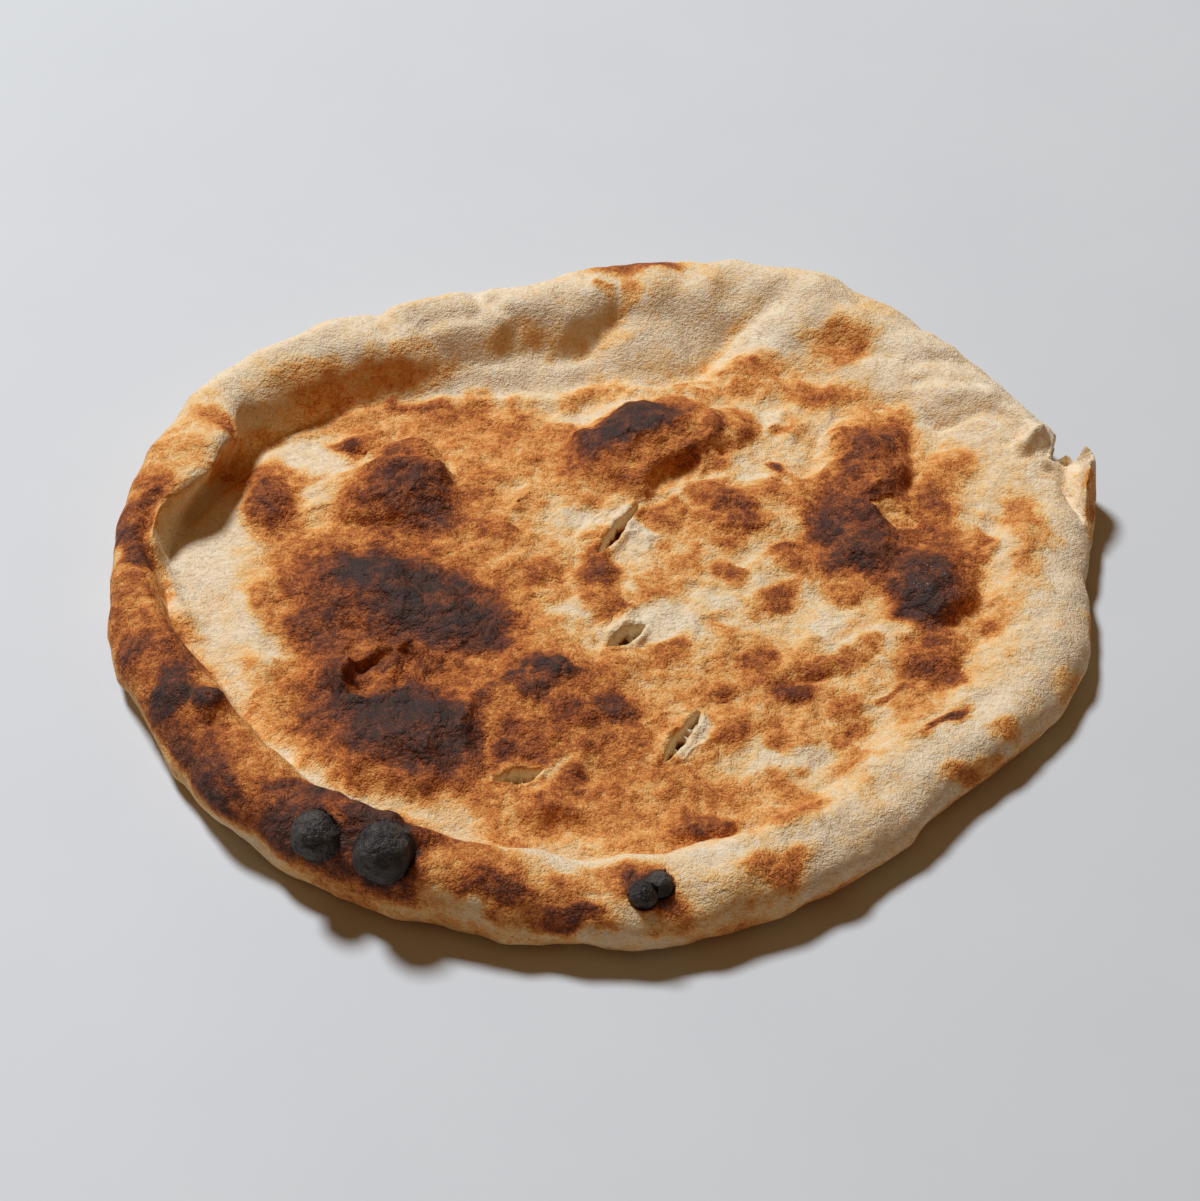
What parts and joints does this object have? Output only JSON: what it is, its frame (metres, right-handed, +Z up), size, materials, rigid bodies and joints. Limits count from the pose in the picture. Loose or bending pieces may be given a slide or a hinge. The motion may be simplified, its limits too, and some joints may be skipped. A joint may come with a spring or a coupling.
{
  "type": "pita bread",
  "caption": "Large round hearth-baked pita with a rolled rim, bubbled toasted top, docking slits, charred round blisters on the rim and a torn, lifted edge.",
  "frame": {"origin": "on the surface the bread lies on, below the middle of its plan", "axes": "+Z up out of the top crust, +X across the widest way, +Y from the blistered front rim to the raised back rim"},
  "size_m": [0.301, 0.282, 0.0277],
  "materials": {
    "crust": "matt floury bread crust, cream to golden brown, with dark toasted bubbles and charred spots"
  },
  "bodies": {
    "root": {"pita_bread": "crust"}
  },
  "joints": []
}
